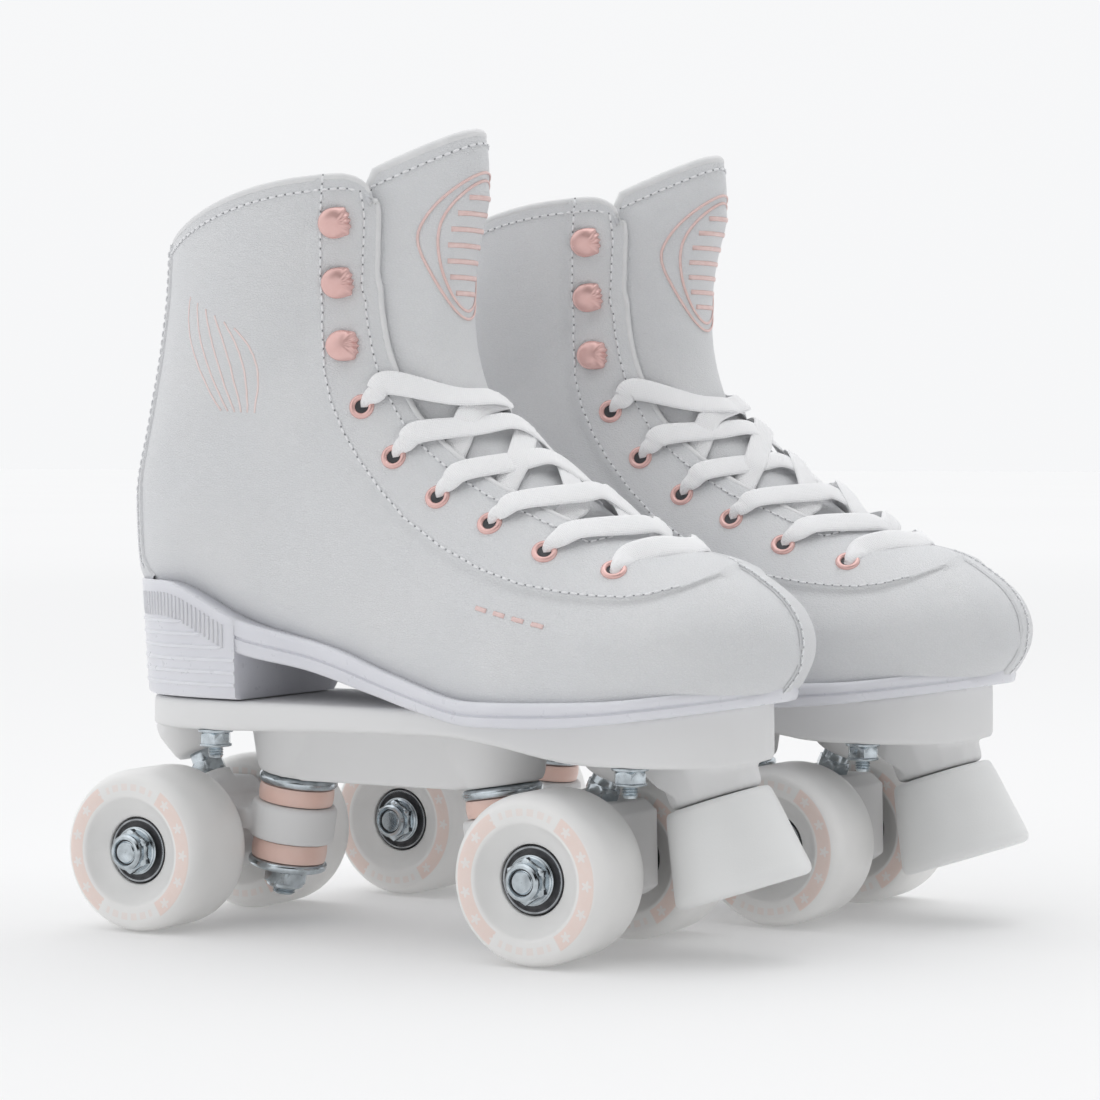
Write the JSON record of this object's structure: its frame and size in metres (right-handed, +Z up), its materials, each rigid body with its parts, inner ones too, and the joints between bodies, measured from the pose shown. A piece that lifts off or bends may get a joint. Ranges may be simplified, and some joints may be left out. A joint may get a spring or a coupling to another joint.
{
  "type": "quad roller skate pair",
  "caption": "Pair of lace-up quad roller skates: high boots on plates with sprung steering trucks, free-turning wheels and slanted toe stops.",
  "frame": {"origin": "on the floor, in the middle of the pair's bounding box", "axes": "+X towards the toes, +Y to the wearer's left, +Z up"},
  "size_m": [0.2834, 0.2194, 0.2667],
  "materials": {
    "synthetic_leather": "matte fine-grained white synthetic leather",
    "sole_rubber": "translucent milky, satin",
    "nylon": "satin white",
    "wheel_polyurethane": "satin white with pale pink print",
    "cushion_polyurethane": "satin salmon pink",
    "zinc_steel": "bright zinc plated",
    "bearing_steel": "dark shield, polished ring",
    "stop_rubber": "translucent white, satin",
    "lace": "woven, matte",
    "insole": "matte"
  },
  "bodies": {
    "right_skate": {"right_boot_upper": "synthetic_leather", "right_tongue": "synthetic_leather", "right_footbed": "insole", "right_outsole": "sole_rubber", "right_laces": "lace", "right_plate": "nylon", "right_toe_stop": "stop_rubber", "right_toe_stop_bolt": "zinc_steel", "right_kingpin_front": "zinc_steel", "right_cup_washer_upper_front": "zinc_steel", "right_cup_washer_lower_front": "zinc_steel", "right_cushion_upper_front": "cushion_polyurethane", "right_cushion_lower_front": "cushion_polyurethane", "right_kingpin_rear": "zinc_steel", "right_cup_washer_upper_rear": "zinc_steel", "right_cup_washer_lower_rear": "zinc_steel", "right_cushion_upper_rear": "cushion_polyurethane", "right_cushion_lower_rear": "cushion_polyurethane"},
    "right_truck_front": {"right_hanger_front": "nylon", "right_axle_front": "zinc_steel"},
    "right_wheel_front_outer_body": {"right_wheel_front_outer": "wheel_polyurethane", "right_bearing_set_front_outer": "bearing_steel"},
    "right_wheel_front_inner_body": {"right_wheel_front_inner": "wheel_polyurethane", "right_bearing_set_front_inner": "bearing_steel"},
    "right_truck_rear": {"right_hanger_rear": "nylon", "right_axle_rear": "zinc_steel"},
    "right_wheel_rear_outer_body": {"right_wheel_rear_outer": "wheel_polyurethane", "right_bearing_set_rear_outer": "bearing_steel"},
    "right_wheel_rear_inner_body": {"right_wheel_rear_inner": "wheel_polyurethane", "right_bearing_set_rear_inner": "bearing_steel"},
    "left_skate": {"left_boot_upper": "synthetic_leather", "left_tongue": "synthetic_leather", "left_footbed": "insole", "left_outsole": "sole_rubber", "left_laces": "lace", "left_plate": "nylon", "left_toe_stop": "stop_rubber", "left_toe_stop_bolt": "zinc_steel", "left_kingpin_front": "zinc_steel", "left_cup_washer_upper_front": "zinc_steel", "left_cup_washer_lower_front": "zinc_steel", "left_cushion_upper_front": "cushion_polyurethane", "left_cushion_lower_front": "cushion_polyurethane", "left_kingpin_rear": "zinc_steel", "left_cup_washer_upper_rear": "zinc_steel", "left_cup_washer_lower_rear": "zinc_steel", "left_cushion_upper_rear": "cushion_polyurethane", "left_cushion_lower_rear": "cushion_polyurethane"},
    "left_truck_front": {"left_hanger_front": "nylon", "left_axle_front": "zinc_steel"},
    "left_wheel_front_outer_body": {"left_wheel_front_outer": "wheel_polyurethane", "left_bearing_set_front_outer": "bearing_steel"},
    "left_wheel_front_inner_body": {"left_wheel_front_inner": "wheel_polyurethane", "left_bearing_set_front_inner": "bearing_steel"},
    "left_truck_rear": {"left_hanger_rear": "nylon", "left_axle_rear": "zinc_steel"},
    "left_wheel_rear_outer_body": {"left_wheel_rear_outer": "wheel_polyurethane", "left_bearing_set_rear_outer": "bearing_steel"},
    "left_wheel_rear_inner_body": {"left_wheel_rear_inner": "wheel_polyurethane", "left_bearing_set_rear_inner": "bearing_steel"}
  },
  "joints": [
    {"name": "right_truck_front_steer", "type": "hinge", "parent": "right_skate", "child": "right_truck_front", "pos_m": [0.04429, -0.06028, 0.062], "axis": [-0.8262, 0, -0.5633], "range_deg": [-8, 8], "stiffness_Nm_per_rad": 20, "deforming": ["right_cushion_upper_front", "right_cushion_lower_front"]},
    {"name": "right_wheel_front_outer_spin", "type": "hinge", "parent": "right_truck_front", "child": "right_wheel_front_outer_body", "pos_m": [0.03809, -0.09288, 0.0274], "axis": [0, 1, 0], "continuous": true},
    {"name": "right_wheel_front_inner_spin", "type": "hinge", "parent": "right_truck_front", "child": "right_wheel_front_inner_body", "pos_m": [0.03809, -0.02768, 0.0274], "axis": [0, 1, 0], "continuous": true},
    {"name": "right_truck_rear_steer", "type": "hinge", "parent": "right_skate", "child": "right_truck_rear", "pos_m": [-0.12012, -0.06028, 0.062], "axis": [0.8262, 0, -0.5633], "range_deg": [-8, 8], "stiffness_Nm_per_rad": 20, "deforming": ["right_cushion_upper_rear", "right_cushion_lower_rear"]},
    {"name": "right_wheel_rear_outer_spin", "type": "hinge", "parent": "right_truck_rear", "child": "right_wheel_rear_outer_body", "pos_m": [-0.11391, -0.09288, 0.0274], "axis": [0, 1, 0], "continuous": true},
    {"name": "right_wheel_rear_inner_spin", "type": "hinge", "parent": "right_truck_rear", "child": "right_wheel_rear_inner_body", "pos_m": [-0.11391, -0.02768, 0.0274], "axis": [0, 1, 0], "continuous": true},
    {"name": "left_skate_apart", "type": "slide", "parent": "right_skate", "child": "left_skate", "axis": [0, 1, 0], "range_m": [0, 0.25]},
    {"name": "left_truck_front_steer", "type": "hinge", "parent": "left_skate", "child": "left_truck_front", "pos_m": [0.07473, 0.05465, 0.062], "axis": [-0.8257, 0.0288, -0.5633], "range_deg": [-8, 8], "stiffness_Nm_per_rad": 20, "deforming": ["left_cushion_upper_front", "left_cushion_lower_front"]},
    {"name": "left_wheel_front_outer_spin", "type": "hinge", "parent": "left_truck_front", "child": "left_wheel_front_outer_body", "pos_m": [0.06968, 0.08745, 0.0274], "axis": [0.0349, 0.9994, 0], "continuous": true},
    {"name": "left_wheel_front_inner_spin", "type": "hinge", "parent": "left_truck_front", "child": "left_wheel_front_inner_body", "pos_m": [0.0674, 0.02229, 0.0274], "axis": [0.0349, 0.9994, 0], "continuous": true},
    {"name": "left_truck_rear_steer", "type": "hinge", "parent": "left_skate", "child": "left_truck_rear", "pos_m": [-0.08956, 0.06039, 0.062], "axis": [0.8257, -0.0288, -0.5633], "range_deg": [-8, 8], "stiffness_Nm_per_rad": 20, "deforming": ["left_cushion_upper_rear", "left_cushion_lower_rear"]},
    {"name": "left_wheel_rear_outer_spin", "type": "hinge", "parent": "left_truck_rear", "child": "left_wheel_rear_outer_body", "pos_m": [-0.08223, 0.09275, 0.0274], "axis": [0.0349, 0.9994, 0], "continuous": true},
    {"name": "left_wheel_rear_inner_spin", "type": "hinge", "parent": "left_truck_rear", "child": "left_wheel_rear_inner_body", "pos_m": [-0.08451, 0.02759, 0.0274], "axis": [0.0349, 0.9994, 0], "continuous": true}
  ]
}
